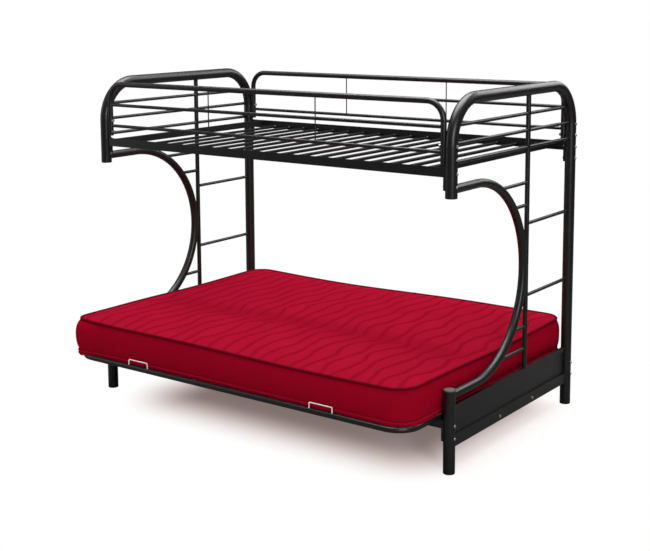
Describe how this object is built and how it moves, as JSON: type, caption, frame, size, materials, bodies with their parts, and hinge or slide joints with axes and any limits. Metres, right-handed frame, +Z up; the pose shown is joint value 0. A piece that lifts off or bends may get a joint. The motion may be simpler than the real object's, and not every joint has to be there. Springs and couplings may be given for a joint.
{
  "type": "sofa to bunk bed",
  "caption": "Black steel tube bunk bed: a single bunk with guards over a futon that slides and folds from sofa to bed, with C shaped end tubes and a quilted red mattress.",
  "frame": {"origin": "on the floor, under the middle of the outline with the futon laid flat as a bed", "axes": "+X along the bed's length, +Y from the open front to the rear posts, +Z up"},
  "size_m": [2.0466, 1.4197, 1.583],
  "materials": {
    "frame_black": "satin black powder coat",
    "black_plastic": "black moulded plastic",
    "nylon": "natural nylon",
    "zinc": "bright zinc plate",
    "retainer_white": "white coated wire",
    "mattress_red": "quilted crimson woven cover with piped edges"
  },
  "bodies": {
    "bunk_frame": {"hoop_left": "frame_black", "hoop_right": "frame_black", "rear_post_left": "frame_black", "rear_post_right": "frame_black", "front_leg_left": "frame_black", "front_leg_right": "frame_black", "c_tube_left": "frame_black", "c_tube_right": "frame_black", "ladder_tube_left": "frame_black", "ladder_tube_right": "frame_black", "head_bars_left": "frame_black", "head_bars_right": "frame_black", "ladder_rungs_left": "frame_black", "ladder_rungs_right": "frame_black", "panel_top_rail_left": "frame_black", "panel_top_rail_right": "frame_black", "panel_sheet_left": "frame_black", "panel_sheet_right": "frame_black", "panel_lower_rail_left": "frame_black", "panel_lower_rail_right": "frame_black", "fold_guide_left": "frame_black", "fold_guide_right": "frame_black", "deck_end_member_left": "frame_black", "deck_end_member_right": "frame_black", "guide_spacers": "frame_black", "foot_glides": "black_plastic", "front_leg_caps": "black_plastic", "stub_plugs": "black_plastic", "rest_pads": "black_plastic", "upper_side_rail_front": "frame_black", "upper_side_rail_rear": "frame_black", "stretcher_front": "frame_black", "stretcher_rear": "frame_black", "guard_top_front": "frame_black", "guard_top_rear": "frame_black", "guard_ends_front": "frame_black", "guard_ends_rear": "frame_black", "guard_bars_front": "frame_black", "guard_bars_rear": "frame_black", "guard_rods_front": "frame_black", "guard_rods_rear": "frame_black", "upper_rail_saddles": "frame_black", "stretcher_saddles": "frame_black", "deck_slats": "frame_black", "deck_screws": "zinc", "rail_bolts": "zinc", "guard_bolts": "zinc", "guide_bolts": "zinc", "hex_nuts": "zinc"},
    "seat": {"seat_frame": "frame_black", "seat_slats": "frame_black", "seat_hinge_plates": "frame_black", "hinge_pins": "zinc", "hinge_glides": "nylon", "mattress_retainers": "retainer_white", "mattress_seat": "mattress_red", "mattress_fold": "mattress_red"},
    "back": {"back_frame": "frame_black", "back_slats": "frame_black", "back_cranks": "frame_black", "crank_pins": "zinc", "mattress_back": "mattress_red"}
  },
  "joints": [
    {"name": "seat_slide", "type": "slide", "parent": "bunk_frame", "child": "seat", "axis": [0, 1, 0], "range_m": [0, 0.2573]},
    {"name": "back_fold", "type": "hinge", "parent": "seat", "child": "back", "pos_m": [0, -0.02015, 0.243], "axis": [1, 0, 0], "range_deg": [0, 72], "deforming": ["mattress_fold"]}
  ],
  "couplings": [
    {"joint": "back_fold", "follows": "seat_slide", "rad_per_m": 4.8839}
  ]
}
